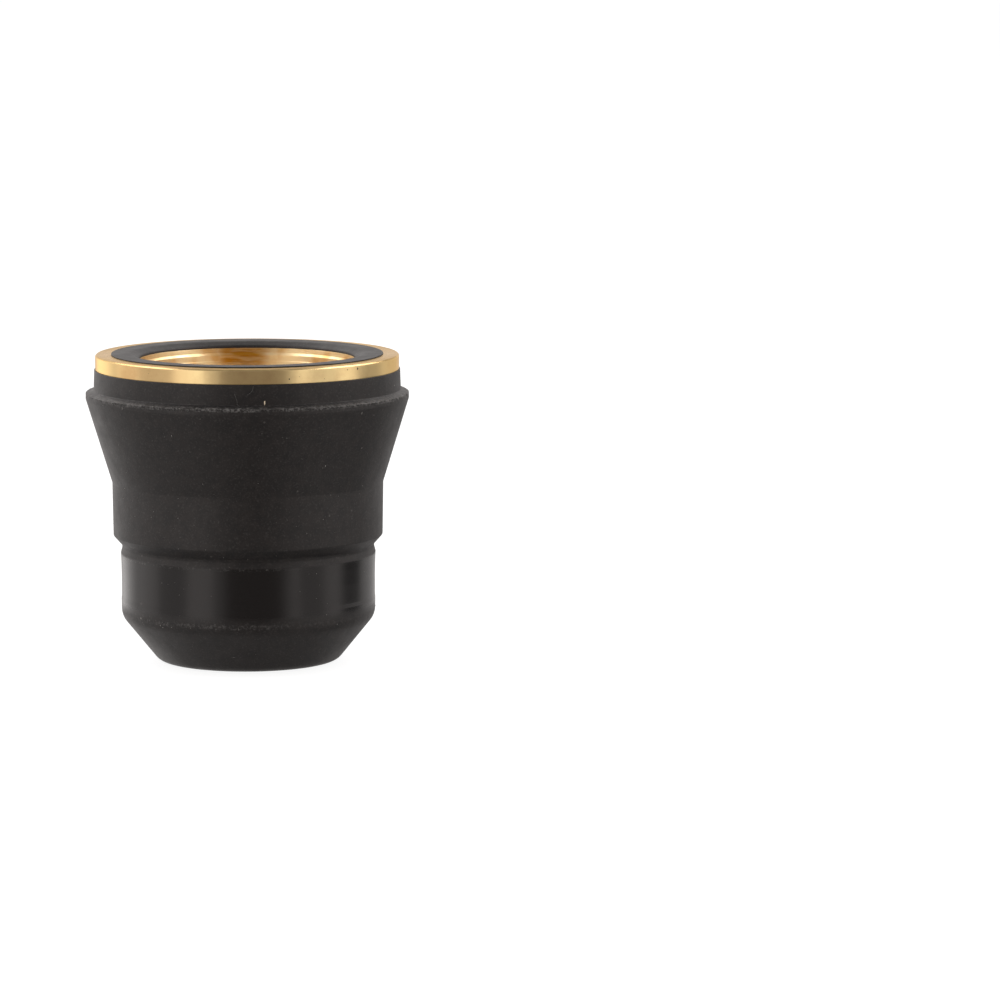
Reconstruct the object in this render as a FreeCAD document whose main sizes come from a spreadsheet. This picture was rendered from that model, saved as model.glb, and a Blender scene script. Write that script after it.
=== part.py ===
"""Plasma torch shield cap: a black moulded insulator over a turned brass liner, with a brass ring on its lip.

The cap stands on its nose. The Z axis is the turning axis of all three pieces and Z = 0 is the face of the
nose. Every piece is one half-section turned round that axis, and pieces that touch share the same sizes.
Lengths are in millimetres.
"""
import FreeCAD, Part
import math
import os
import re
import Sketcher

SIZES = [
    ("cap_height", 32.45),
    # the brass ring, which the lip inside it and the collar below it follow
    ("ring_diameter", 31.85),
    ("ring_wall", 1.675),
    ("ring_height", 1.58),
    ("ring_chamfer", 0.22),
    # the collar and the flared shoulder below the ring
    ("collar_margin", 0.105),
    ("collar_draft", 0.07),
    ("collar_height", 2.12),
    ("shoulder_ledge", 0.85),
    ("shoulder_rise", 0.33),
    ("shoulder_edge_height", 0.6),
    ("shoulder_edge_round", 0.15),
    # the lip, which stands a little higher than the ring, and the walls of the insulator over the liner
    ("lip_rise", 0.07),
    ("lip_wall", 1.65),
    ("lip_clearance", 0.02),
    ("lip_edge_round", 0.55),
    ("waist_wall", 1.63),
    ("waist_draft", 0.08),
    ("groove_wall", 1.46),
    ("band_rise", 0.07),
    # the lengths of the insulator's outside, from the nose up to the flare
    ("band_foot_height", 4.84),
    ("band_length", 6.51),
    ("groove_cove", 0.6),
    ("groove_width", 0.4),
    ("groove_bevel", 1.0),
    ("waist_length", 5.55),
    ("waist_foot_round", 0.4),
    ("groove_root_round", 0.4),
    ("band_foot_round", 2.2),
    ("nose_round", 1.5),
    ("nose_hole_chamfer", 0.25),
    # the nozzle hole, which the foot of the liner and the nose follow
    ("nozzle_hole_diameter", 13.0),
    ("nose_hole_margin", 1.0),
    ("liner_nose_wall", 2.0),
    ("nose_wall", 0.895),
    # the outside of the liner, which the insulator is moulded round
    ("liner_recess", 0.68),
    ("liner_step", 0.8),
    ("liner_step_height", 14.5),
    ("liner_cone_top_height", 5.7),
    ("liner_cone_foot_height", 1.7),
    ("liner_nose_recess", 0.8),
    ("grip_groove_depth", 0.5),
    ("grip_groove_width", 1.4),
    ("grip_groove_height", 23.5),
    # the bore of the liner, from its mouth down to the seat
    ("mouth_wall", 1.32),
    ("pilot_depth", 0.48),
    ("land_step", 0.24),
    ("land_depth", 0.62),
    ("guide_step", 0.03),
    ("guide_depth", 1.0),
    ("thread_depth", 0.55),
    ("thread_length", 8.0),
    ("relief_clearance", 0.09),
    ("relief_width", 1.6),
    ("chamber_step", 0.26),
    ("seat_top_height", 7.2),
    ("seat_foot_height", 3.5),
]

FULL_TURN = 360.0
SAME_PLACE = 1e-4
START_MIDDLE = 30.0

doc = FreeCAD.newDocument("shield_cap")
sheet = doc.addObject("Spreadsheet::Sheet", "Sizes")
for row, (alias, millimetres) in enumerate(SIZES, start=1):
    sheet.set("A%d" % row, alias)
    sheet.set("B%d" % row, str(millimetres))
    sheet.setAlias("B%d" % row, alias)
doc.recompute()


def in_sheet(expression):
    """The same expression with each size looked up in the sheet."""
    return re.sub(r"[a-z]\w*", r"Sizes.\g<0>", expression)


def new_piece(label):
    """An empty body for one piece of the cap, in the cap's own frame."""
    body = doc.addObject("PartDesign::Body", label)
    body.Label = label
    body.Placement = FreeCAD.Placement()
    return body


def half_section(body, name, corners):
    """A closed sketch on the XZ plane; each corner has a name, a radius and a height above the nose face."""
    sketch = body.newObject("Sketcher::SketchObject", name)
    plane = next(f for f in body.Origin.OriginFeatures if f.Role == "XZ_Plane")
    sketch.AttachmentSupport = [(plane, "")]
    sketch.MapMode = "FlatFace"
    count = len(corners)
    # the corners start out on a circle, and their sizes then pull each of them into place
    angles = [math.tau * i / count for i in range(count)]
    start = [FreeCAD.Vector(START_MIDDLE + math.cos(a), START_MIDDLE + math.sin(a), 0) for a in angles]
    for i in range(count):
        sketch.addGeometry(Part.LineSegment(start[i], start[(i + 1) % count]), False)
    for i in range(count):
        sketch.addConstraint(Sketcher.Constraint("Coincident", i, 2, (i + 1) % count, 1))
    for i, (corner, radius, height) in enumerate(corners):
        for side, kind, expression in (("radius", "DistanceX", radius), ("height", "DistanceY", height)):
            if expression == "0":
                sketch.addConstraint(Sketcher.Constraint("PointOnObject", i, 1, -1))
                continue
            index = sketch.addConstraint(Sketcher.Constraint(kind, -1, 1, i, 1, START_MIDDLE))
            sketch.renameConstraint(index, corner + "_" + side)
            sketch.setExpression("Constraints." + corner + "_" + side, in_sheet(expression))
    return sketch


def turn(body, name, sketch):
    """The half-section turned once round the Z axis."""
    turned = body.newObject("PartDesign::Revolution", name)
    turned.Profile = sketch
    turned.ReferenceAxis = (sketch, ["V_Axis"])
    turned.Angle = FULL_TURN
    sketch.Visibility = False
    doc.recompute()
    return turned


def edges_at(feature, sketch, corners):
    """The names of the circular edges that the named corners of the sketch have become."""
    places = []
    for corner in corners:
        names = [c.Name for c in sketch.Constraints]
        height = sketch.getDatum(corner + "_height").Value if corner + "_height" in names else 0.0
        places.append((sketch.getDatum(corner + "_radius").Value, height))
    found = []
    for number, edge in enumerate(feature.Shape.Edges, start=1):
        if not isinstance(edge.Curve, Part.Circle):
            continue
        for radius, height in places:
            apart = math.hypot(edge.Curve.Radius - radius, edge.Curve.Center.z - height)
            if apart < SAME_PLACE:
                found.append("Edge%d" % number)
    if len(found) != len(corners):
        raise ValueError("no single edge for each of " + ", ".join(corners))
    return found


def soften(body, kind, name, size, sketch, corners):
    """A fillet or chamfer of one named size on the circles at the named corners."""
    base = body.Tip
    feature = body.newObject("PartDesign::" + kind, name)
    feature.Base = (base, edges_at(base, sketch, corners))
    feature.setExpression("Radius" if kind == "Fillet" else "Size", "Sizes." + size)
    doc.recompute()
    return feature


# radii, each from the one next to it, outward and inward from the ring
RING_RADIUS = "ring_diameter / 2"
COLLAR_TOP_RADIUS = RING_RADIUS + " + collar_margin"
COLLAR_FOOT_RADIUS = COLLAR_TOP_RADIUS + " + collar_draft"
SHOULDER_RADIUS = COLLAR_FOOT_RADIUS + " + shoulder_ledge"
LIP_RADIUS = RING_RADIUS + " - ring_wall"
LINER_RADIUS = LIP_RADIUS + " - lip_wall"
GRIP_RADIUS = LINER_RADIUS + " - grip_groove_depth"
WAIST_RADIUS = LINER_RADIUS + " + waist_wall"
WAIST_FOOT_RADIUS = WAIST_RADIUS + " - waist_draft"
LINER_FOOT_RADIUS = LINER_RADIUS + " - liner_step"
GROOVE_RADIUS = LINER_FOOT_RADIUS + " + groove_wall"
BAND_RADIUS = GROOVE_RADIUS + " + band_rise"
PILOT_RADIUS = LINER_RADIUS + " - mouth_wall"
LIP_BORE_RADIUS = PILOT_RADIUS + " + lip_clearance"
LAND_RADIUS = PILOT_RADIUS + " - land_step"
GUIDE_RADIUS = LAND_RADIUS + " - guide_step"
RELIEF_RADIUS = GUIDE_RADIUS + " + relief_clearance"
THREAD_RADIUS = GUIDE_RADIUS + " - thread_depth"
CHAMBER_RADIUS = THREAD_RADIUS + " - chamber_step"

# radii round the nozzle hole
NOZZLE_HOLE_RADIUS = "nozzle_hole_diameter / 2"
NOSE_HOLE_RADIUS = NOZZLE_HOLE_RADIUS + " + nose_hole_margin"
LINER_NOSE_RADIUS = NOZZLE_HOLE_RADIUS + " + liner_nose_wall"
NOSE_RADIUS = LINER_NOSE_RADIUS + " + nose_wall"

# levels down from the top of the cap
RING_TOP = "cap_height - lip_rise"
RING_SEAT = RING_TOP + " - ring_height"
COLLAR_FOOT = RING_SEAT + " - collar_height"
SHOULDER_TOP = COLLAR_FOOT + " - shoulder_rise"
SHOULDER_FOOT = SHOULDER_TOP + " - shoulder_edge_height"
LINER_TOP = "cap_height - liner_recess"

# levels up from the nose
BAND_TOP = "band_foot_height + band_length"
GROOVE_FOOT = BAND_TOP + " + groove_cove"
GROOVE_TOP = GROOVE_FOOT + " + groove_width"
WAIST_FOOT = GROOVE_TOP + " + groove_bevel"
WAIST_TOP = WAIST_FOOT + " + waist_length"
GRIP_TOP = "grip_groove_height + grip_groove_width / 2"
GRIP_FOOT = "grip_groove_height - grip_groove_width / 2"


def liner_outside(top, foot):
    """The face where insulator and liner meet, from the liner's top edge down to the foot of its nose."""
    return [
        (top, LINER_RADIUS, LINER_TOP),
        ("grip_top_edge", LINER_RADIUS, GRIP_TOP),
        ("grip_top_root", GRIP_RADIUS, GRIP_TOP),
        ("grip_foot_root", GRIP_RADIUS, GRIP_FOOT),
        ("grip_foot_edge", LINER_RADIUS, GRIP_FOOT),
        ("step_edge", LINER_RADIUS, "liner_step_height"),
        ("step_root", LINER_FOOT_RADIUS, "liner_step_height"),
        ("cone_top", LINER_FOOT_RADIUS, "liner_cone_top_height"),
        ("cone_foot", LINER_NOSE_RADIUS, "liner_cone_foot_height"),
        (foot, LINER_NOSE_RADIUS, "liner_nose_recess"),
    ]


def make_insulator_body():
    """The black moulding: lip, collar, flared shoulder, waist, groove, polished band and tapered nose."""
    body = new_piece("insulator_body")
    outside = [
        ("lip_inner", LIP_BORE_RADIUS, "cap_height"),
        ("lip_outer", LIP_RADIUS, "cap_height"),
        ("ring_seat_root", LIP_RADIUS, RING_SEAT),
        ("collar_top", COLLAR_TOP_RADIUS, RING_SEAT),
        ("collar_foot", COLLAR_FOOT_RADIUS, COLLAR_FOOT),
        ("shoulder_top", SHOULDER_RADIUS, SHOULDER_TOP),
        ("shoulder_foot", SHOULDER_RADIUS, SHOULDER_FOOT),
        ("waist_top", WAIST_RADIUS, WAIST_TOP),
        ("waist_foot", WAIST_FOOT_RADIUS, WAIST_FOOT),
        ("groove_top", GROOVE_RADIUS, GROOVE_TOP),
        ("groove_foot", GROOVE_RADIUS, GROOVE_FOOT),
        ("band_top", BAND_RADIUS, BAND_TOP),
        ("band_foot", BAND_RADIUS, "band_foot_height"),
        ("nose_edge", NOSE_RADIUS, "0"),
        ("nose_hole_edge", NOSE_HOLE_RADIUS, "0"),
        ("nose_hole_top", NOSE_HOLE_RADIUS, "liner_nose_recess"),
    ]
    inside = liner_outside("liner_pocket_top", "liner_pocket_foot")[::-1]
    lip_wall = [("lip_wall_foot", LIP_BORE_RADIUS, LINER_TOP)]
    sketch = half_section(body, "insulator_section", outside + inside + lip_wall)
    turn(body, "insulator_moulding", sketch)
    soften(body, "Fillet", "waist_foot_rounding", "waist_foot_round", sketch, ["waist_foot"])
    soften(body, "Fillet", "groove_root_rounding", "groove_root_round", sketch, ["groove_top"])
    soften(body, "Fillet", "band_foot_rounding", "band_foot_round", sketch, ["band_foot"])
    soften(body, "Fillet", "nose_rounding", "nose_round", sketch, ["nose_edge"])
    soften(body, "Fillet", "shoulder_edge_rounding", "shoulder_edge_round", sketch,
           ["shoulder_top", "shoulder_foot"])
    soften(body, "Fillet", "lip_edge_rounding", "lip_edge_round", sketch, ["lip_inner"])
    soften(body, "Chamfer", "nose_hole_chamfering", "nose_hole_chamfer", sketch, ["nose_hole_edge"])
    return body


def make_contact_ring():
    """The brass ring: it is pressed over the lip, sits on the collar and ends just below the top of the lip."""
    body = new_piece("contact_ring")
    sketch = half_section(body, "ring_section", [
        ("seat_inner", LIP_RADIUS, RING_SEAT),
        ("seat_outer", RING_RADIUS, RING_SEAT),
        ("top_outer", RING_RADIUS, RING_TOP),
        ("top_inner", LIP_RADIUS, RING_TOP),
    ])
    turn(body, "ring_turning", sketch)
    soften(body, "Chamfer", "ring_edge_chamfer", "ring_chamfer", sketch, ["top_outer"])
    return body


def make_threaded_liner():
    """The brass liner: a stepped mouth, a thread, and a coned seat that holds the nozzle's flange.

    The steps of the mouth and the lead into the thread are chamfers of 45 degrees. The thread is left at its
    minor diameter.
    """
    body = new_piece("threaded_liner")
    pilot_foot = LINER_TOP + " - pilot_depth"
    land_top = pilot_foot + " - land_step"
    land_foot = land_top + " - land_depth"
    guide_top = land_foot + " - guide_step"
    guide_foot = guide_top + " - guide_depth"
    thread_top = guide_foot + " - thread_depth"
    thread_foot = thread_top + " - thread_length"
    relief_foot = thread_foot + " - relief_width"
    bore = [
        ("nozzle_hole_foot", NOZZLE_HOLE_RADIUS, "liner_nose_recess"),
        ("seat_foot", NOZZLE_HOLE_RADIUS, "seat_foot_height"),
        ("seat_top", CHAMBER_RADIUS, "seat_top_height"),
        ("chamber_top", CHAMBER_RADIUS, relief_foot),
        ("relief_foot_edge", RELIEF_RADIUS, relief_foot),
        ("relief_top_edge", RELIEF_RADIUS, thread_foot),
        ("thread_foot_edge", THREAD_RADIUS, thread_foot),
        ("thread_top_edge", THREAD_RADIUS, thread_top),
        ("guide_foot_edge", GUIDE_RADIUS, guide_foot),
        ("guide_top_edge", GUIDE_RADIUS, guide_top),
        ("land_foot_edge", LAND_RADIUS, land_foot),
        ("land_top_edge", LAND_RADIUS, land_top),
        ("pilot_foot_edge", PILOT_RADIUS, pilot_foot),
        ("pilot_top_edge", PILOT_RADIUS, LINER_TOP),
    ]
    sketch = half_section(body, "liner_section", liner_outside("liner_top_edge", "liner_nose_foot") + bore)
    turn(body, "liner_turning", sketch)
    return body


pieces = [make_insulator_body(), make_contact_ring(), make_threaded_liner()]
doc.recompute()

for item in doc.Objects:
    if "Invalid" in item.State or "Error" in item.State:
        raise RuntimeError(item.Name + " could not be made: " + str(item.State))
for piece in pieces:
    if piece.Shape.isNull() or not piece.Shape.isValid() or len(piece.Shape.Solids) != 1:
        raise RuntimeError(piece.Label + " is not one sound solid")

os.makedirs("parts", exist_ok=True)
for piece in pieces:
    piece.Shape.exportStep(os.path.join("parts", piece.Label + ".step"))
    print(piece.Label, "volume", round(piece.Shape.Volume, 2), "mm3, box", piece.Shape.BoundBox)
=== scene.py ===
"""The looks of a plasma torch shield cap: black moulding, pressed brass ring and threaded brass liner."""

import math
import random

import bmesh
import bpy
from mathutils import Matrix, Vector, noise
from mathutils.bvhtree import BVHTree


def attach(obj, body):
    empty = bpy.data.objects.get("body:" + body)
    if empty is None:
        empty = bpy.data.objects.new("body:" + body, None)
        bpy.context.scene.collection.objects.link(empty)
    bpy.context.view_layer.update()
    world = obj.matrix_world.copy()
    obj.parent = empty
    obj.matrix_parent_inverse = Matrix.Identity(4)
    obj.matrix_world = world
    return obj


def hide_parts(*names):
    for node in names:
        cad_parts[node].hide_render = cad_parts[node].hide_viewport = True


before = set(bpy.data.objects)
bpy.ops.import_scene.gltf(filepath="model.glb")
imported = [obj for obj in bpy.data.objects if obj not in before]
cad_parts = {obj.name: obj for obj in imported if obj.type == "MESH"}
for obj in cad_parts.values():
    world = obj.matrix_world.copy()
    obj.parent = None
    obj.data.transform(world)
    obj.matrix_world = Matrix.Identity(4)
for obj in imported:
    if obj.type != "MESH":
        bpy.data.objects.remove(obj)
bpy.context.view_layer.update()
scene = bpy.context.scene
scene.view_settings.view_transform = "Standard"
MM = 0.001


# The view. The cap stands to the left of the picture's middle, and the camera looks straight ahead past it
# from a little above, through a long lens.
VIEW_DISTANCE = 586.0 * MM
VIEW_HEIGHT = 93.9 * MM
VIEW_ASIDE = 26.50 * MM
AIM_HEIGHT = 16.86 * MM
SCALE_PER_PIXEL = 0.1052 * MM
PICTURE_WIDTH = 1000

view_drop = VIEW_HEIGHT - AIM_HEIGHT
camera = bpy.data.objects.new("view", bpy.data.cameras.new("view"))
scene.collection.objects.link(camera)
picture_span = SCALE_PER_PIXEL * PICTURE_WIDTH
camera.data.lens = camera.data.sensor_width * math.hypot(VIEW_DISTANCE, view_drop) / picture_span
camera.data.clip_start = 10 * MM
camera.data.clip_end = 10.0
camera.location = (VIEW_ASIDE, -VIEW_DISTANCE, VIEW_HEIGHT)
camera.rotation_euler = (math.pi / 2 - math.atan2(view_drop, VIEW_DISTANCE), 0, 0)
scene.camera = camera


# The studio. A pale floor runs into a pale tent that is open, and darker, on the side of the camera.
# Soft boxes stand to the left and right, and the picture's background is white.
FLOOR_HALF_WIDTH = 3.0
FLOOR_BOUNCE = 0.50
FLOOR_SHADOW_DEPTH = 0.22
LIT_SHARE = 0.55
WHITE = (1.0, 1.0, 1.0, 1.0)
WARMTH = (1.0, 0.966, 0.95, 1.0)
WALL_LIGHT = 0.64
LOW_SHADE = 0.22
BACK_LEFT_LIGHT = 0.76
ZENITH_LIGHT = 0.42
OPENING_LIGHT = (0.235, 0.208, 0.196, 1.0)
OPENING_AZIMUTH = math.radians(8)
OPENING_EDGES = (math.cos(math.radians(29)), math.cos(math.radians(24)))
FLAG_LIGHT = 0.09
FLAG_AZIMUTH = math.radians(112)
FLAG_EDGES = (math.cos(math.radians(16)), math.cos(math.radians(9)))
BEYOND_LIGHT = 0.96
FAR_FLOOR_LIGHT = 0.72


def node(tree, kind, settings=None, inputs=None):
    """One shader node, with its settings, and its inputs set to values or linked to outputs."""
    made = tree.nodes.new(kind)
    for name, value in (settings or {}).items():
        setattr(made, name, value)
    for name, value in (inputs or {}).items():
        if isinstance(value, bpy.types.NodeSocket):
            tree.links.new(value, made.inputs[name])
        else:
            made.inputs[name].default_value = value
    return made


def maths(tree, operation, first, second=0.0, clamp=False):
    """The output of one Math node."""
    settings = {"operation": operation, "use_clamp": clamp}
    return node(tree, "ShaderNodeMath", settings, {0: first, 1: second}).outputs[0]


def times(tree, first, second):
    """The product of two values."""
    return maths(tree, "MULTIPLY", first, second)


def plus(tree, first, second):
    """The sum of two values."""
    return maths(tree, "ADD", first, second)


def blend_value(tree, factor, first, second):
    """The output of a mix of two values."""
    return node(tree, "ShaderNodeMix", {"data_type": "FLOAT"}, {0: factor, 2: first, 3: second}).outputs[0]


def blend_colour(tree, factor, first, second):
    """The output of a colour mix of two colours, which a factor above 1 carries past the second."""
    settings = {"data_type": "RGBA", "clamp_factor": False}
    return node(tree, "ShaderNodeMix", settings, {0: factor, 6: first, 7: second}).outputs[2]


def ramp_between(tree, value, low, high, smooth=True):
    """0 below low and 1 above high, or the other way round where low is the larger."""
    settings = {"interpolation_type": "SMOOTHSTEP" if smooth else "LINEAR"}
    inputs = {"Value": value, "From Min": low, "From Max": high}
    return node(tree, "ShaderNodeMapRange", settings, inputs).outputs[0]


tent = bpy.data.worlds.new("tent")
scene.world = tent
tent.use_nodes = True
tent.node_tree.nodes.clear()
tree = tent.node_tree
direction = node(tree, "ShaderNodeTexCoord").outputs["Generated"]
side_x, side_y, side_z = node(tree, "ShaderNodeSeparateXYZ", inputs={0: direction}).outputs
level = node(tree, "ShaderNodeVectorMath", {"operation": "NORMALIZE"}, {
    0: node(tree, "ShaderNodeCombineXYZ", inputs={"X": side_x, "Y": side_y}).outputs[0]}).outputs[0]


def toward(azimuth, edges):
    """1 where a level direction is near to an azimuth, which is 0 at the camera and grows to the right."""
    aim = (math.sin(azimuth), -math.cos(azimuth), 0.0)
    near = node(tree, "ShaderNodeVectorMath", {"operation": "DOT_PRODUCT"}, {0: level, 1: aim})
    return ramp_between(tree, near.outputs["Value"], *edges)


def grey(value):
    """A colour of three equal parts."""
    parts = {"Red": value, "Green": value, "Blue": value}
    return node(tree, "ShaderNodeCombineColor", inputs=parts).outputs[0]


back_left = times(tree, ramp_between(tree, side_y, 0.3, 0.9), ramp_between(tree, side_x, 0.35, -0.25))
walls = plus(tree, WALL_LIGHT, times(tree, back_left, BACK_LEFT_LIGHT))
low = ramp_between(tree, side_z, -0.105, -0.137)
flag = times(tree, toward(FLAG_AZIMUTH, FLAG_EDGES), low)
walls = blend_value(tree, flag, walls, FLAG_LIGHT)
beyond = times(tree, ramp_between(tree, side_y, 0.80, 0.97), ramp_between(tree, side_z, 0.0, 0.06))
walls = blend_value(tree, beyond, walls, BEYOND_LIGHT)
far_floor = times(tree, ramp_between(tree, side_y, 0.86, 0.97), ramp_between(tree, side_z, 0.0, -0.03))
walls = blend_value(tree, far_floor, walls, FAR_FLOOR_LIGHT)
low_dimming = times(tree, ramp_between(tree, side_z, -0.25, -0.75), LOW_SHADE)
walls = times(tree, walls, maths(tree, "SUBTRACT", 1.0, low_dimming))
warm_walls = blend_colour(tree, walls, (0.0, 0.0, 0.0, 1.0), WARMTH)
opened = blend_colour(tree, toward(OPENING_AZIMUTH, OPENING_EDGES), warm_walls, OPENING_LIGHT)
tent_light = blend_colour(tree, ramp_between(tree, side_z, 0.80, 0.99), opened, grey(ZENITH_LIGHT))
camera_ray = node(tree, "ShaderNodeLightPath").outputs["Is Camera Ray"]
seen = blend_colour(tree, camera_ray, tent_light, WHITE)
background = node(tree, "ShaderNodeBackground", inputs={"Color": seen, "Strength": 1.0})
node(tree, "ShaderNodeOutputWorld", inputs={"Surface": background.outputs[0]})

floor_mesh = bpy.data.meshes.new("floor")
reach = FLOOR_HALF_WIDTH
floor_corners = [(-reach, -reach, 0), (reach, -reach, 0), (reach, reach, 0), (-reach, reach, 0)]
floor_mesh.from_pydata(floor_corners, [], [(0, 1, 2, 3)])
floor = bpy.data.objects.new("floor", floor_mesh)
scene.collection.objects.link(floor)
floor.visible_glossy = False
paper = bpy.data.materials.new("floor_paper")
paper.use_nodes = True
paper.node_tree.nodes.clear()
tree = paper.node_tree
shade = node(tree, "ShaderNodeBsdfDiffuse", inputs={"Color": (FLOOR_SHADOW_DEPTH,) * 3 + (1.0,)})
glow_strength = 1.0 - LIT_SHARE * FLOOR_SHADOW_DEPTH
glow = node(tree, "ShaderNodeEmission", inputs={"Color": WHITE, "Strength": glow_strength})
seen = node(tree, "ShaderNodeAddShader", inputs={0: shade.outputs[0], 1: glow.outputs[0]})
bounce = node(tree, "ShaderNodeBsdfDiffuse", inputs={"Color": (FLOOR_BOUNCE,) * 3 + (1.0,)})
camera_ray = node(tree, "ShaderNodeLightPath").outputs["Is Camera Ray"]
surface = node(tree, "ShaderNodeMixShader", inputs={
    0: camera_ray, 1: bounce.outputs[0], 2: seen.outputs[0]})
node(tree, "ShaderNodeOutputMaterial", inputs={"Surface": surface.outputs[0]})
floor_mesh.materials.append(paper)


def soft_box(name, azimuth, distance, width, height, middle, radiance):
    """A soft box that faces the cap; its azimuth is 0 at the camera's side and grows to the right.

    Its middle is a height above the floor, and a raised one leans down towards the cap.
    """
    lamp = bpy.data.lights.new(name, "AREA")
    lamp.shape = "RECTANGLE"
    lamp.size = width
    lamp.size_y = height
    lamp.energy = radiance * math.pi * width * height
    lamp.color = WARMTH[:3]
    holder = bpy.data.objects.new(name, lamp)
    scene.collection.objects.link(holder)
    turn = math.radians(azimuth)
    lean = math.atan2(middle, distance) if middle > height / 2 else 0.0
    holder.location = (distance * math.sin(turn), -distance * math.cos(turn), middle)
    holder.rotation_euler = (math.pi / 2 - lean, 0, turn)
    holder.visible_camera = False


soft_box("left_front_box", azimuth=-42, distance=0.7, width=0.32, height=0.9, middle=0.15, radiance=0.60)
soft_box("right_front_box", azimuth=45, distance=0.7, width=0.13, height=0.7, middle=0.15, radiance=0.40)
soft_box("left_side_box", azimuth=-100, distance=0.7, width=0.34, height=0.7, middle=0.10, radiance=0.41)
soft_box("right_side_box", azimuth=84, distance=0.7, width=0.22, height=0.7, middle=0.10, radiance=0.40)
soft_box("left_raised_box", azimuth=-106, distance=0.5, width=1.05, height=0.30, middle=0.56, radiance=3.6)
soft_box("right_raised_box", azimuth=110, distance=0.5, width=1.05, height=0.30, middle=0.56, radiance=3.6)


# The insulator. One black moulding with a matt skin: lip, collar, flared shoulder, waist and tapered nose.
# The band above the nose is polished by the sleeves that slide over it, and the shoulder's edge is chipped.
LIP_TOP = 32.45
LIP_BORE = 11.3
LIP_OUTSIDE = 14.25
RING_TOP = 32.33
RING_SEAT = 30.80
LINER_TOP = 31.77
LINER_OUTSIDE = 12.6
AROUND_MOULDING = 480
ROW_SPACING = 0.6
HIDDEN_SPACING = 6.0
ARC_STEP = math.radians(12)
CHIP_DEPTH = 0.09
CHIPPED_FROM = 27.85
CHIPPED_TO = 28.62
CHIPPED_OUTSIDE = 16.3


def rounded_section(corners):
    """The points of a closed section in millimetres, with each corner rounded by its own radius.

    A corner is a radius from the axis, a height, a rounding and, if it matters, the row spacing after it.
    """
    points = []
    count = len(corners)
    places = [Vector(corner[:2]) for corner in corners]
    for i, corner in enumerate(corners):
        here = places[i]
        back = (places[i - 1] - here).normalized()
        ahead = (places[(i + 1) % count] - here).normalized()
        rounding = corner[2]
        if rounding > 0:
            half = back.angle(ahead) / 2
            tangent = rounding / math.tan(half)
            centre = here + (back + ahead).normalized() * (rounding / math.sin(half))
            first = here + back * tangent - centre
            last = here + ahead * tangent - centre
            steps = max(2, math.ceil(first.angle(last) / ARC_STEP))
            turn = first.angle_signed(last)
            for k in range(steps + 1):
                a = -turn * k / steps
                points.append((centre + Vector((first.x * math.cos(a) - first.y * math.sin(a),
                                                first.x * math.sin(a) + first.y * math.cos(a))), corner))
        else:
            points.append((here, corner))
    rows = []
    for i, (point, corner) in enumerate(points):
        rows.append(point)
        following = points[(i + 1) % len(points)][0]
        length = (following - point).length
        spacing = corner[3] if len(corner) > 3 else ROW_SPACING
        pieces = max(1, math.ceil(length / spacing))
        for k in range(1, pieces):
            rows.append(point.lerp(following, k / pieces))
    return [(p.x, p.y) for p in rows]


def turned_piece(name, section, around, shape=None):
    """A closed piece turned round the Z axis from a section; shape may move a point, in millimetres."""
    mesh = bpy.data.meshes.new(name)
    vertices = []
    for radius, height in section:
        for j in range(around):
            angle = math.tau * j / around
            r, z = shape(radius, height, angle) if shape else (radius, height)
            vertices.append((r * MM * math.cos(angle), r * MM * math.sin(angle), z * MM))
    faces = []
    rows = len(section)
    for i in range(rows):
        for j in range(around):
            k = (j + 1) % around
            below = (i + 1) % rows
            faces.append((i * around + j, below * around + j, below * around + k, i * around + k))
    mesh.from_pydata(vertices, [], faces)
    return finished_piece(name, mesh)


def finished_piece(name, mesh):
    """Smooth shading with sharp edges kept, normals outward, and the piece linked to the scene."""
    work = bmesh.new()
    work.from_mesh(mesh)
    bmesh.ops.remove_doubles(work, verts=work.verts, dist=1e-8)
    bmesh.ops.recalc_face_normals(work, faces=work.faces)
    work.to_mesh(mesh)
    work.free()
    mesh.shade_smooth()
    mesh.set_sharp_from_angle(angle=math.radians(35))
    piece = bpy.data.objects.new(name, mesh)
    scene.collection.objects.link(piece)
    return piece


def chipped_shoulder(radius, height, angle):
    """The shoulder's thin edge is chipped and worn unevenly; the rest of the moulding is left as it is."""
    if not (CHIPPED_FROM < height < CHIPPED_TO and radius > CHIPPED_OUTSIDE):
        return radius, height
    x, y = math.cos(angle), math.sin(angle)
    fine = noise.noise(Vector((x * 32, y * 32, height * 6.0)))
    broad = noise.noise(Vector((x * 11, y * 11, 3.7)))
    tip = min(1.0, (radius - CHIPPED_OUTSIDE) / 0.5) * min(1.0, (height - CHIPPED_FROM) / 0.40)
    wear = max(0.0, fine + 0.5 * broad)
    lift = noise.noise(Vector((x * 30, y * 30, 9.1)))
    return radius - CHIP_DEPTH * tip * (0.10 + 1.5 * wear), height + 0.05 * tip * lift


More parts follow.
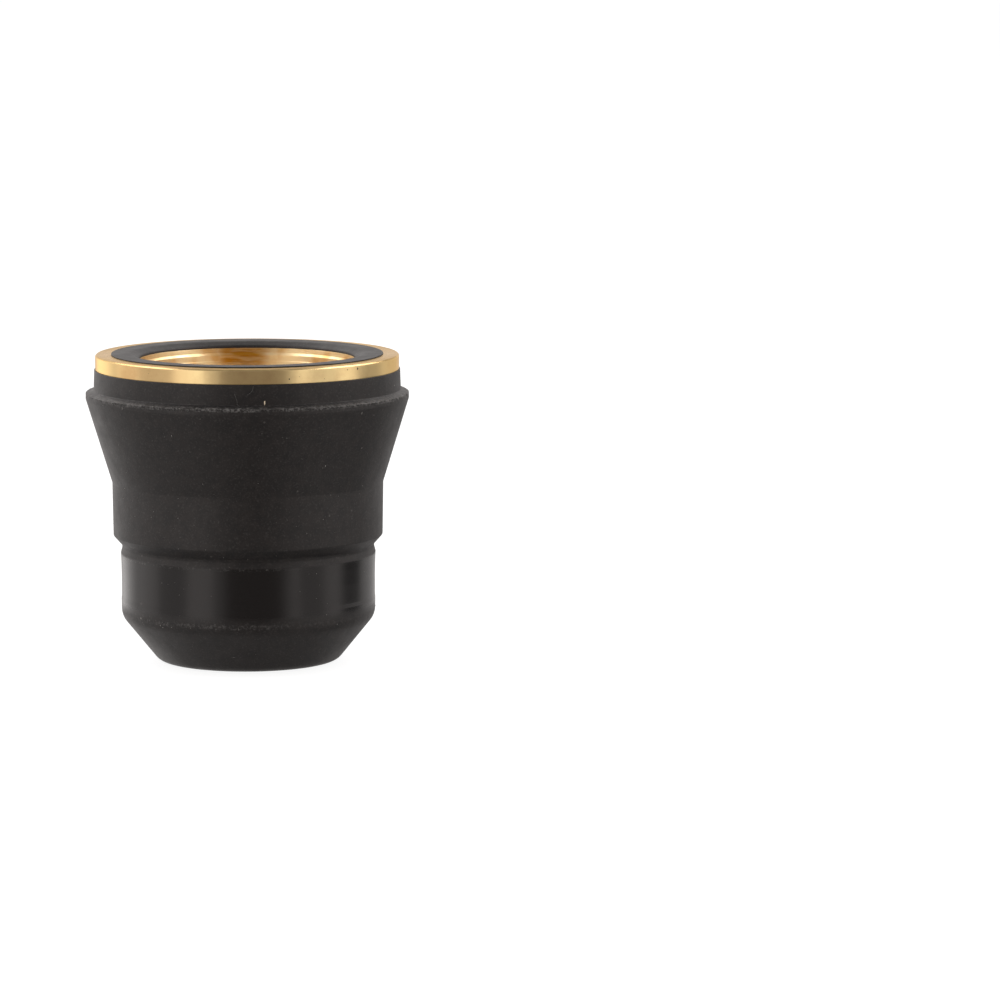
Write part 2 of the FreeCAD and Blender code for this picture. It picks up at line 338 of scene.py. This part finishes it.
moulding_section = rounded_section([
    (LIP_BORE, LIP_TOP - 0.45, 0.30, 0.1),
    (12.20, LIP_TOP, 1.3, 0.2),
    (LIP_OUTSIDE, LIP_TOP, 0.06),
    (LIP_OUTSIDE, RING_SEAT, 0.0),
    (16.03, RING_SEAT, 0.05),
    (16.1, 28.68, 0.04, 0.10),
    (16.95, 28.35, 0.10, 0.08),
    (16.95, 27.75, 0.14, 0.3),
    (14.23, 18.9, 0.4),
    (14.15, 13.35, 0.25),
    (13.26, 12.35, 0.30),
    (13.24, 12.05, 0.5),
    (13.40, 11.45, 0.12),
    (13.36, 10.6, 2.0),
    (13.32, 9.0, 3.0),
    (13.32, 7.0, 1.0),
    (13.36, 6.6, 0.4),
    (13.33, 4.84, 2.0),
    (9.395, 0.0, 1.5),
    (7.75, 0.0, 0.05),
    (7.5, 0.25, 0.05),
    (7.5, 0.8, 0.0, HIDDEN_SPACING),
    (8.5, 0.8, 0.0, HIDDEN_SPACING),
    (8.5, 1.7, 0.0, HIDDEN_SPACING),
    (11.8, 5.7, 0.0, HIDDEN_SPACING),
    (11.8, 14.5, 0.0, HIDDEN_SPACING),
    (LINER_OUTSIDE, 14.5, 0.0, HIDDEN_SPACING),
    (LINER_OUTSIDE, 22.8, 0.0, HIDDEN_SPACING),
    (12.1, 22.8, 0.0, HIDDEN_SPACING),
    (12.1, 24.2, 0.0, HIDDEN_SPACING),
    (LINER_OUTSIDE, 24.2, 0.0, HIDDEN_SPACING),
    (LINER_OUTSIDE, LINER_TOP, 0.0, HIDDEN_SPACING),
    (LIP_BORE, LINER_TOP, 0.0),
])
moulding = turned_piece("moulded_body", moulding_section, AROUND_MOULDING, chipped_shoulder)


def node_group(name, inputs, outputs):
    """An empty shader node group with its inputs and outputs, and the two nodes that stand for them."""
    group = bpy.data.node_groups.new(name, "ShaderNodeTree")
    for label, value in inputs.items():
        socket = group.interface.new_socket(label, in_out="INPUT", socket_type="NodeSocketFloat")
        socket.default_value = value
    for label in outputs:
        group.interface.new_socket(label, in_out="OUTPUT", socket_type="NodeSocketFloat")
    return group, group.nodes.new("NodeGroupInput"), group.nodes.new("NodeGroupOutput")


def make_height_band():
    """A mask that is 1 between two heights above the nose face and fades out over a softness."""
    inputs = {"Low": 0.0, "High": 0.01, "Softness": 0.0002}
    group, given, result = node_group("height_band", inputs, ["Mask"])
    place = node(group, "ShaderNodeTexCoord").outputs["Object"]
    height = node(group, "ShaderNodeSeparateXYZ", inputs={0: place}).outputs["Z"]
    soft = given.outputs["Softness"]
    rise = maths(group, "DIVIDE", maths(group, "SUBTRACT", height, given.outputs["Low"]), soft, clamp=True)
    fall = maths(group, "DIVIDE", maths(group, "SUBTRACT", given.outputs["High"], height), soft, clamp=True)
    group.links.new(times(group, rise, fall), result.inputs["Mask"])
    return group


def make_dust():
    """Fine pale dust: small round specks of uneven size, thinly scattered."""
    group, given, result = node_group("dust", {"Spacing": 0.0022, "Speck": 0.05, "Share": 0.4}, ["Mask"])
    place = node(group, "ShaderNodeTexCoord").outputs["Object"]
    scale = maths(group, "DIVIDE", 1.0, given.outputs["Spacing"])
    inputs = {"Vector": place, "Scale": scale, "Randomness": 1.0}
    cells = node(group, "ShaderNodeTexVoronoi", {"feature": "F1"}, inputs)
    chance = node(group, "ShaderNodeSeparateColor", inputs={0: cells.outputs["Color"]})
    size = times(group, given.outputs["Speck"], chance.outputs["Green"])
    speck = maths(group, "LESS_THAN", cells.outputs["Distance"], size)
    kept = maths(group, "LESS_THAN", chance.outputs["Red"], given.outputs["Share"])
    group.links.new(times(group, speck, kept), result.inputs["Mask"])
    return group


def make_sector():
    """A mask round the Z axis that is 1 at a middle azimuth and fades to 0 at a half width.

    The azimuth is 0 at the camera's side and grows to the right.
    """
    group, given, result = node_group("sector", {"Middle": 0.0, "Half Width": 0.3}, ["Mask"])
    place = node(group, "ShaderNodeTexCoord").outputs["Object"]
    parts = node(group, "ShaderNodeSeparateXYZ", inputs={0: place})
    azimuth = maths(group, "ARCTAN2", parts.outputs["X"], times(group, parts.outputs["Y"], -1.0))
    away = maths(group, "PINGPONG", maths(group, "SUBTRACT", azimuth, given.outputs["Middle"]), math.pi)
    share = maths(group, "DIVIDE", away, given.outputs["Half Width"])
    share = maths(group, "SUBTRACT", 1.0, share, clamp=True)
    group.links.new(ramp_between(group, share, 0.0, 0.6), result.inputs["Mask"])
    return group


height_band = make_height_band()
sector = make_sector()
dust = make_dust()


def use_group(tree, group, inputs):
    """One use of a node group with its own values."""
    return node(tree, "ShaderNodeGroup", {"node_tree": group}, inputs)


def between_heights(tree, low, high, softness):
    """The height band's mask, with heights in millimetres above the nose face."""
    inputs = {"Low": low * MM, "High": high * MM, "Softness": softness * MM}
    return use_group(tree, height_band, inputs).outputs["Mask"]


def round_azimuth(tree, middle, half_width):
    """The sector's mask, with angles in degrees."""
    inputs = {"Middle": math.radians(middle), "Half Width": math.radians(half_width)}
    return use_group(tree, sector, inputs).outputs["Mask"]


def noise_texture(tree, place, scale, detail, roughness=0.5):
    """The value of one Noise Texture node."""
    inputs = {"Vector": place, "Scale": scale, "Detail": detail, "Roughness": roughness}
    return node(tree, "ShaderNodeTexNoise", inputs=inputs).outputs["Fac"]


def new_material(name):
    """A material with an empty node tree."""
    material = bpy.data.materials.new(name)
    material.use_nodes = True
    material.node_tree.nodes.clear()
    return material, material.node_tree


MOULDING_BLACK = (0.0070, 0.0072, 0.0076, 1.0)
MOULDING_BROWN = (0.0150, 0.0130, 0.0124, 1.0)
POLISHED_BLACK = (0.0060, 0.0058, 0.0060, 1.0)
GRAIN_GREY = (0.034, 0.032, 0.031, 1.0)
# The worn grey is also the colour of a painted highlight on the shoulder's upward slope.
WORN_AND_HIGHLIGHT_GREY = (0.140, 0.136, 0.132, 1.0)
DUST_GREY = (0.20, 0.19, 0.18, 1.0)
RESIN_TINT = (1.0, 0.945, 0.925, 1.0)

insulator_skin, tree = new_material("black_moulding")
place = node(tree, "ShaderNodeTexCoord").outputs["Object"]
under_groove = between_heights(tree, 0.0, 11.55, 0.25)
above_foot = between_heights(tree, 5.45, 20.0, 0.95)
band = maths(tree, "MINIMUM", under_groove, above_foot)
patches = noise_texture(tree, place, 420.0, 6.0, 0.7)
grain = noise_texture(tree, place, 5200.0, 2.0)
rough_patch = noise_texture(tree, place, 3600.0, 6.0, 0.65)
# The shoulder's edge and upward slope are painted lighter grey. Partly this is real rubbed wear on the
# chipped edge. Partly it is a painted highlight where the slope catches light from above, and painted light
# that fills the shade in the crease at the slope's root.
edge = between_heights(tree, 28.16, 28.74, 0.06)
rubbed = ramp_between(tree, rough_patch, 0.44, 0.60)
rim = between_heights(tree, 28.04, 28.52, 0.08)
stretches = plus(tree, 0.30, times(tree, ramp_between(tree, patches, 0.42, 0.56), 0.70))
rim_wear_and_highlight = times(tree, rim, times(tree, rubbed, stretches))
edge_wear_and_highlight = plus(tree, rim_wear_and_highlight, times(tree, edge, times(tree, rubbed, 0.15)))
# Painted shade: the groove above the polished band gets less specular reflection. This stands in for the
# shade of its own faces and the cap's shadow.
groove = between_heights(tree, 12.0, 13.32, 0.10)
lip_top = between_heights(tree, 31.9, 33.0, 0.10)
scuff = between_heights(tree, 4.6, 6.1, 0.45)
scuff_wear = times(tree, scuff, ramp_between(tree, rough_patch, 0.56, 0.70))
step_line = between_heights(tree, 5.0, 5.6, 0.12)
step_wear = times(tree, step_line, ramp_between(tree, rough_patch, 0.48, 0.60))
scuff_wear = maths(tree, "MAXIMUM", scuff_wear, times(tree, step_wear, 0.8))
left_side = round_azimuth(tree, -28, 62)
scuff_wear = times(tree, scuff_wear, plus(tree, 0.30, times(tree, left_side, 0.70)))
band_edge = between_heights(tree, 11.1, 11.6, 0.10)
band_edge_dust = times(tree, band_edge, times(tree, ramp_between(tree, rough_patch, 0.50, 0.66), 0.5))
scuff_wear = maths(tree, "MAXIMUM", scuff_wear, times(tree, band_edge_dust, left_side))
# This wear carries the painted highlight on the shoulder's slope as well as real scuffs.
wear = maths(tree, "MAXIMUM", times(tree, edge_wear_and_highlight, 0.75), times(tree, scuff_wear, 0.5))
specks = use_group(tree, dust, {"Spacing": 1.9 * MM, "Speck": 0.055, "Share": 0.35}).outputs["Mask"]
faint_specks = use_group(tree, dust, {"Spacing": 1.1 * MM, "Speck": 0.11, "Share": 0.30}).outputs["Mask"]
specks = maths(tree, "MAXIMUM", specks, times(tree, faint_specks, 0.22))
mottle = noise_texture(tree, place, 950.0, 7.0, 0.72)
mottled = blend_colour(tree, ramp_between(tree, mottle, 0.34, 0.66), MOULDING_BLACK, MOULDING_BROWN)
grained = blend_colour(tree, ramp_between(tree, grain, 0.50, 0.80), mottled, GRAIN_GREY)
black = blend_colour(tree, band, grained, POLISHED_BLACK)
worn = blend_colour(tree, wear, black, WORN_AND_HIGHLIGHT_GREY)
dusty = blend_colour(tree, specks, worn, DUST_GREY)
matt = plus(tree, 0.34, times(tree, patches, 0.32))
polish = plus(tree, 0.18, times(tree, patches, 0.10))
finish_mix = blend_value(tree, band, matt, polish)
roughness = plus(tree, finish_mix, times(tree, wear, 0.3))
grain_height = times(tree, grain, maths(tree, "SUBTRACT", 1.0, times(tree, band, 0.95)))
rubbed_height = times(tree, times(tree, edge, rough_patch), 3.0)
surface_height = plus(tree, grain_height, rubbed_height)
bump = node(tree, "ShaderNodeBump", inputs={
    "Strength": 0.5, "Distance": 0.014 * MM, "Height": surface_height})
edge_dulling = times(tree, edge, maths(tree, "SUBTRACT", 0.11, times(tree, rubbed, 0.11)))
groove_shade_and_lip_dulling = plus(tree, times(tree, groove, 0.12), times(tree, lip_top, 0.17))
sheen = maths(tree, "SUBTRACT", 0.5, plus(tree, edge_dulling, groove_shade_and_lip_dulling))
skin = node(tree, "ShaderNodeBsdfPrincipled", inputs={
    "Base Color": dusty, "Roughness": roughness, "IOR": 1.48, "Specular IOR Level": sheen,
    "Specular Tint": RESIN_TINT, "Normal": bump.outputs[0]})
node(tree, "ShaderNodeOutputMaterial", inputs={"Surface": skin.outputs[0]})

moulding.data.materials.append(insulator_skin)
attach(moulding, "root")
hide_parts("insulator_body")


# The ring. Turned from brass, pressed over the lip down on to the collar, with a broken upper edge.
# Its outside keeps fine marks of the turning tool, and has dulled a little with handling.
RING_OUTSIDE = 15.925
AROUND_RING = 540

ring_section = rounded_section([
    (LIP_OUTSIDE, RING_SEAT, 0.0, 0.3),
    (RING_OUTSIDE, RING_SEAT, 0.05, 0.2),
    (RING_OUTSIDE, RING_TOP - 0.13, 0.06, 0.1),
    (RING_OUTSIDE - 0.13, RING_TOP, 0.06, 0.2),
    (LIP_OUTSIDE, RING_TOP, 0.0, 0.3),
])
ring = turned_piece("brass_ring", ring_section, AROUND_RING)


def make_turned_marks():
    """The fine rings that a turning tool leaves, which run round the Z axis, as a height and a shade."""
    inputs = {"Spacing": 0.00008, "Wander": 0.3}
    group, given, result = node_group("turned_marks", inputs, ["Height", "Shade"])
    place = node(group, "ShaderNodeTexCoord").outputs["Object"]
    parts = node(group, "ShaderNodeSeparateXYZ", inputs={0: place})
    x_squared = maths(group, "POWER", parts.outputs["X"], 2.0)
    y_squared = maths(group, "POWER", parts.outputs["Y"], 2.0)
    radius = maths(group, "SQRT", plus(group, x_squared, y_squared))
    scale = maths(group, "DIVIDE", 1.0, given.outputs["Spacing"])
    across = node(group, "ShaderNodeCombineXYZ", inputs={
        "X": times(group, radius, scale), "Y": times(group, parts.outputs["Z"], scale)})
    drift = node(group, "ShaderNodeTexNoise", inputs={"Vector": place, "Scale": 90.0, "Detail": 1.0})
    shifted = node(group, "ShaderNodeVectorMath", {"operation": "MULTIPLY_ADD"}, {
        0: drift.outputs["Color"], 1: given.outputs["Wander"], 2: across.outputs[0]})
    group.links.new(noise_texture(group, shifted.outputs[0], 1.0, 2.0), result.inputs["Height"])
    group.links.new(noise_texture(group, shifted.outputs[0], 0.17, 1.0), result.inputs["Shade"])
    return group


turned_marks = make_turned_marks()
BRASS_BRIGHT = (0.96, 0.73, 0.36, 1.0)
BRASS_DULL = (0.74, 0.50, 0.235, 1.0)
BRASS_EDGE = (0.96, 0.80, 0.58, 1.0)
GRIME = (0.12, 0.07, 0.03, 1.0)
# The brown that paints shade on the ring's top face.
PAINTED_TOP_SHADE = (0.27, 0.175, 0.085, 1.0)


def finish_brass(tree, colour, smooth, bump):
    """The surface of turned brass, whose highlights stretch across the marks that run round the Z axis."""
    tangent = node(tree, "ShaderNodeTangent", {"direction_type": "RADIAL", "axis": "Z"})
    shader = node(tree, "ShaderNodeBsdfPrincipled", inputs={
        "Base Color": colour, "Specular Tint": BRASS_EDGE, "Metallic": 1.0,
        "Roughness": smooth, "Anisotropic": 0.85, "Anisotropic Rotation": 0.25,
        "Tangent": tangent.outputs[0], "Normal": bump.outputs[0]})
    node(tree, "ShaderNodeOutputMaterial", inputs={"Surface": shader.outputs[0]})


ring_brass, tree = new_material("ring_brass")
place = node(tree, "ShaderNodeTexCoord").outputs["Object"]
marks = use_group(tree, turned_marks, {"Spacing": 0.07 * MM, "Wander": 0.5})
handled = noise_texture(tree, place, 300.0, 6.0, 0.65)
dulled = ramp_between(tree, handled, 0.42, 0.68)
left_stain = round_azimuth(tree, -39, 26)
right_stain = round_azimuth(tree, 66, 20)
left_stain = times(tree, left_stain, 1.5)
stained_sides = maths(tree, "MAXIMUM", left_stain, times(tree, right_stain, 0.30))
stain = times(tree, stained_sides, plus(tree, 0.55, times(tree, dulled, 0.30)))
dulled = maths(tree, "MAXIMUM", times(tree, dulled, 0.5), stain)
tone = blend_colour(tree, dulled, BRASS_BRIGHT, BRASS_DULL)
spots = use_group(tree, dust, {"Spacing": 3.1 * MM, "Speck": 0.06, "Share": 0.3}).outputs["Mask"]
spotted = blend_colour(tree, times(tree, spots, 0.8), tone, GRIME)
# Painted shade: the ring's top face is darkened brown, with blotches, to stand in for its dimmer
# reflection.
top = between_heights(tree, 32.18, 33.0, 0.12)
blotches = noise_texture(tree, place, 900.0, 6.0, 0.7)
top_shade = times(tree, ramp_between(tree, blotches, 0.35, 0.70), 0.22)
top_shade = times(tree, top, plus(tree, 0.60, top_shade))
spotted = blend_colour(tree, top_shade, spotted, PAINTED_TOP_SHADE)
smooth = plus(tree, 0.23, times(tree, marks.outputs["Shade"], 0.12))
bump = node(tree, "ShaderNodeBump", inputs={
    "Strength": 0.25, "Distance": 0.004 * MM, "Height": marks.outputs["Height"]})
finish_brass(tree, spotted, smooth, bump)

ring.data.materials.append(ring_brass)
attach(ring, "root")
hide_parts("contact_ring")


# The liner. Turned from brass with a stepped mouth, a right-hand thread and a coned seat, and moulded in.
# The thread is cut as one helix that fades out in the lead above it and in the relief groove below it.
THREAD_MINOR = 10.46
THREAD_MAJOR = 11.0
THREAD_PITCH = 1.0
GUIDE_RADIUS = 11.01
GUIDE_FOOT = 29.40
THREAD_FOOT = 20.85
RELIEF_RADIUS = 11.1
RELIEF_FOOT = 19.25
CHAMBER_RADIUS = 10.2
AROUND_LINER = 288
THREAD_ROWS = [
    (0.00, THREAD_MINOR + 0.02), (0.03, THREAD_MINOR), (0.22, THREAD_MINOR), (0.25, THREAD_MINOR + 0.02),
    (0.54, THREAD_MAJOR - 0.02), (0.57, THREAD_MAJOR), (0.68, THREAD_MAJOR), (0.71, THREAD_MAJOR - 0.02),
]

bore_below = rounded_section([
    (RELIEF_RADIUS, THREAD_FOOT, 0.0, 0.4),
    (RELIEF_RADIUS, RELIEF_FOOT, 0.0, 0.3),
    (CHAMBER_RADIUS, RELIEF_FOOT, 0.08),
    (CHAMBER_RADIUS, 7.2, 0.25),
    (6.5, 3.5, 0.15),
    (6.5, 0.8, 0.06),
    (8.5, 0.8, 0.0),
    (8.5, 1.7, 0.0),
    (11.8, 5.7, 0.0),
    (11.8, 14.5, 0.0),
    (LINER_OUTSIDE, 14.5, 0.0),
    (LINER_OUTSIDE, 22.8, 0.0),
    (12.1, 22.8, 0.0),
    (12.1, 24.2, 0.0),
    (LINER_OUTSIDE, 24.2, 0.0),
    (LINER_OUTSIDE, LINER_TOP, 0.0),
    (11.28, LINER_TOP, 0.03),
    (11.28, 31.29, 0.02, 0.1),
    (11.04, 31.05, 0.02, 0.2),
    (11.04, 30.43, 0.01, 0.1),
    (GUIDE_RADIUS, 30.40, 0.01, 0.3),
    (GUIDE_RADIUS, GUIDE_FOOT, 0.0, 50.0),
])


def thread_row(number):
    """The radius and height of one row of the thread's helix as a function of the angle."""
    turns, step = divmod(number, len(THREAD_ROWS))
    phase, radius = THREAD_ROWS[step]
    start = GUIDE_FOOT - (turns + phase) * THREAD_PITCH

    def at(angle):
        height = start + THREAD_PITCH * angle / math.tau
        if height >= GUIDE_FOOT:
            return GUIDE_RADIUS, GUIDE_FOOT
        if height <= THREAD_FOOT:
            return RELIEF_RADIUS, THREAD_FOOT
        lead = GUIDE_RADIUS - (GUIDE_FOOT - height)
        return max(radius, lead), height
    return at


def threaded_piece(name, plain_rows, around):
    """The liner's mesh: the plain rows of its section, closed by the rows of the thread."""
    turns = math.ceil((GUIDE_FOOT - THREAD_FOOT) / THREAD_PITCH) + 1
    rows = [(lambda angle, row=row: row) for row in plain_rows]
    rows += [thread_row(number) for number in range(turns * len(THREAD_ROWS) + 1)]
    vertices = []
    for row in rows:
        for j in range(around + 1):
            angle = math.tau * j / around
            r, z = row(angle)
            vertices.append((r * MM * math.cos(angle), r * MM * math.sin(angle), z * MM))
    faces = []
    columns = around + 1
    for i in range(len(rows)):
        below = (i + 1) % len(rows)
        for j in range(around):
            here = i * columns + j
            under = below * columns + j
            faces.append((here, under, under + 1, here + 1))
    mesh = bpy.data.meshes.new(name)
    mesh.from_pydata(vertices, [], faces)
    work = bmesh.new()
    work.from_mesh(mesh)
    bmesh.ops.remove_doubles(work, verts=work.verts, dist=1e-6 * MM * 100)
    bmesh.ops.dissolve_degenerate(work, edges=work.edges, dist=1e-6 * MM * 100)
    work.to_mesh(mesh)
    work.free()
    return finished_piece(name, mesh)


liner = threaded_piece("brass_liner", bore_below, AROUND_LINER)

BRASS_PALE = (0.95, 0.765, 0.46, 1.0)
# The stained brass colours real stains and also the painted dark reflection on the mouth's far wall.
BRASS_STAINED_AND_SHADED = (0.78, 0.49, 0.20, 1.0)

liner_brass, tree = new_material("liner_brass")
place = node(tree, "ShaderNodeTexCoord").outputs["Object"]
marks = use_group(tree, turned_marks, {"Spacing": 0.09 * MM, "Wander": 0.4})
mouth = between_heights(tree, 31.25, 32.0, 0.05)
flat = node(tree, "ShaderNodeVectorMath", {"operation": "MULTIPLY"}, {0: place, 1: (1.0, 1.0, 0.06)})
chatter = noise_texture(tree, flat.outputs[0], 3200.0, 1.0)
stained = noise_texture(tree, place, 420.0, 4.0)
# Painted reflection: the far wall of the mouth, opposite the camera, is darkened with streaks. This stands
# in for its reflection of the dark camera side.
far_wall_shade = round_azimuth(tree, -174.5, 18)
round_place = node(tree, "ShaderNodeVectorMath", {"operation": "MULTIPLY"}, {0: place, 1: (1.0, 1.0, 9.0)})
streaks = noise_texture(tree, round_place.outputs[0], 420.0, 4.0)
far_wall_shade = times(tree, far_wall_shade, plus(tree, 0.65, ramp_between(tree, streaks, 0.34, 0.66)))
stains_and_far_shade = maths(tree, "MAXIMUM", ramp_between(tree, stained, 0.42, 0.72), far_wall_shade)
tone = blend_colour(tree, stains_and_far_shade, BRASS_PALE, BRASS_STAINED_AND_SHADED)
ripple = times(tree, times(tree, mouth, chatter), 4.0)
relief = plus(tree, marks.outputs["Height"], ripple)
bump = node(tree, "ShaderNodeBump", inputs={"Strength": 0.3, "Distance": 0.006 * MM, "Height": relief})
mouth_roughness = times(tree, mouth, 0.14)
smooth = plus(tree, plus(tree, 0.36, mouth_roughness), times(tree, stained, 0.12))
finish_brass(tree, tone, smooth, bump)

liner.data.materials.append(liner_brass)
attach(liner, "root")
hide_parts("threaded_liner")


# The dust. Pale flakes, two fibres and one fleck of brass lie on the moulding, where handling left them;
# the two flakes on the shoulder's edge are painted highlights.
# Each flake is a low, uneven chip a few hundredths of a millimetre thick that lies flat on the skin.
FLAKES_AND_EDGE_GLINTS = [
    (46.8, 27.40, 0.10, 0.40), (34.2, 22.04, 0.14, 0.17), (33.2, 21.85, 0.08, 0.11),
    (-26.1, 25.40, 0.08, 0.30), (51.3, 23.57, 0.12, 0.15), (-46.9, 27.90, 0.10, 0.42),
    # The first two flakes in this row, on the shoulder's edge, are painted highlights, not dust.
    (-32.6, 28.36, 0.20, 0.14), (-21.7, 28.33, 0.26, 0.12), (39.7, 6.22, 0.10, 0.10),
    (65.2, 2.44, 0.10, 0.11), (32.6, 1.65, 0.07, 0.08), (-41.1, 5.04, 0.16, 0.20),
    (-39.8, 4.86, 0.22, 0.10), (-34.6, 4.98, 0.14, 0.08), (-24.3, 5.10, 0.11, 0.09),
    (-12.2, 5.12, 0.12, 0.07), (-1.9, 5.13, 0.05, 0.36), (-5.6, 1.83, 0.38, 0.07),
    (-15.6, 13.47, 0.07, 0.10), (-28.0, 13.41, 0.07, 0.10), (14.7, 12.79, 0.08, 0.10),
    (-29.0, 2.53, 0.09, 0.08), (6.2, 2.19, 0.08, 0.07),
]
FLAKE_HEIGHT = 0.03
FLAKE_DEPTH = 0.01
FLAKE_TAPER = 0.7
SCATTERED_FLAKES = 260
SCATTER_SEED = 4


def outside_of(piece):
    """A function from an azimuth and a height, in millimetres, to a place on a piece and its normal."""
    mesh = piece.data
    faces = [polygon.vertices[:] for polygon in mesh.polygons]
    tree_of_faces = BVHTree.FromPolygons([vertex.co for vertex in mesh.vertices], faces)

    def at(azimuth, height):
        turn = math.radians(azimuth)
        outward = Vector((math.sin(turn), -math.cos(turn), 0.0))
        start = outward * 0.05 + Vector((0.0, 0.0, height * MM))
        place, normal, _, _ = tree_of_faces.ray_cast(start, -outward)
        return place, (normal if normal.dot(outward) > 0 else -normal)
    return at


def add_flake(work, place, normal, width, height, chance):
    """One low chip with an uneven outline, its width and height in millimetres, flat on the surface."""
    across = Vector((0.0, 0.0, 1.0)).cross(normal).normalized()
    upward = normal.cross(across)
    sides = chance.randint(6, 8)
    rim = []
    for i in range(sides):
        angle = math.tau * (i + chance.uniform(-0.25, 0.25)) / sides
        reach = chance.uniform(0.7, 1.1) / 2
        sideways = across * (width * reach * MM * math.cos(angle))
        rim.append(place + sideways + upward * (height * reach * MM * math.sin(angle)))
    base = [work.verts.new(point - normal * FLAKE_DEPTH * MM) for point in rim]
    top = []
    for point in rim:
        lift = normal * FLAKE_HEIGHT * chance.uniform(0.5, 1.0) * MM
        top.append(work.verts.new(place + (point - place) * FLAKE_TAPER + lift))
    work.faces.new(top)
    work.faces.new(base[::-1])
    for i in range(sides):
        work.faces.new((base[i], base[(i + 1) % sides], top[(i + 1) % sides], top[i]))


def flake_piece(name, carrier, flakes, scattered, seed):
    """One mesh of flakes on a piece: the listed ones, and some scattered at random all round."""
    chance = random.Random(seed)
    surface = outside_of(carrier)
    work = bmesh.new()
    for azimuth, height, width, tall in flakes:
        place, normal = surface(azimuth, height)
        add_flake(work, place, normal, width, tall, chance)
    for _ in range(scattered):
        size = chance.uniform(0.03, 0.09)
        place, normal = surface(chance.uniform(0, 360), chance.uniform(0.8, 30.0))
        add_flake(work, place, normal, size, size * chance.uniform(0.7, 1.6), chance)
    mesh = bpy.data.meshes.new(name)
    work.to_mesh(mesh)
    work.free()
    return finished_piece(name, mesh)


def fibre_piece(name, paths, thickness):
    """Thin round fibres along paths of azimuths and heights, each lying on the moulding."""
    surface = outside_of(moulding)
    curve = bpy.data.curves.new(name, "CURVE")
    curve.dimensions = "3D"
    curve.bevel_depth = thickness / 2 * MM
    curve.bevel_resolution = 2
    curve.use_fill_caps = True
    for path in paths:
        spline = curve.splines.new("NURBS")
        spline.points.add(len(path) - 1)
        for point, (azimuth, height, stand) in zip(spline.points, path):
            place, normal = surface(azimuth, height)
            point.co = (*(place + normal * (thickness / 2 + stand) * MM), 1.0)
        spline.use_endpoint_u = True
        spline.order_u = 3
    piece = bpy.data.objects.new(name, curve)
    scene.collection.objects.link(piece)
    return piece


def plain_material(name, colour, roughness, metallic=0.0):
    """A material of one colour."""
    material, tree = new_material(name)
    shader = node(tree, "ShaderNodeBsdfPrincipled", inputs={
        "Base Color": colour, "Roughness": roughness, "Metallic": metallic})
    node(tree, "ShaderNodeOutputMaterial", inputs={"Surface": shader.outputs[0]})
    return material


# This grey also colours the two painted highlights on the shoulder's edge.
dust_and_glint_grey = plain_material("dust_and_glint_grey", (0.26, 0.25, 0.235, 1.0), 0.8)
flakes = flake_piece("dust_flakes_and_glints", moulding, FLAKES_AND_EDGE_GLINTS, SCATTERED_FLAKES, SCATTER_SEED)
flakes.data.materials.append(dust_and_glint_grey)
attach(flakes, "root")

fibre_grey = plain_material("fibre_grey", (0.10, 0.095, 0.09, 1.0), 0.6)
fibres = fibre_piece("dust_fibres", [
    [(-2.2, 29.91, 0.0), (-1.6, 29.50, 0.02), (-1.1, 29.00, 0.05),
     (-1.3, 28.75, 0.04), (-0.2, 28.60, 0.02)],
    [(4.7, 30.70, 0.0), (4.7, 30.42, 0.03), (4.1, 30.11, 0.05), (3.4, 29.91, 0.03), (2.6, 29.80, 0.0)],
], 0.035)
fibres.data.materials.append(fibre_grey)
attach(fibres, "root")

fleck_brass = plain_material("fleck_brass", (0.95, 0.80, 0.58, 1.0), 0.45, metallic=0.3)
fleck = flake_piece("brass_fleck", moulding, [(8.8, 28.96, 0.20, 0.56)], 0, 2)
fleck.data.materials.append(fleck_brass)
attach(fleck, "root")

grime_brown = plain_material("grime_brown", (0.045, 0.028, 0.014, 1.0), 0.7)
grime = flake_piece("ring_grime", ring, [
    (18.2, 31.30, 0.19, 0.21), (48.0, 31.91, 0.20, 0.32), (42.8, 31.91, 0.15, 0.13),
    (22.1, 31.52, 0.08, 0.07), (32.3, 31.17, 0.08, 0.09), (-37.0, 31.60, 0.07, 0.08),
], 0, 3)
grime.data.materials.append(grime_brown)
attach(grime, "root")
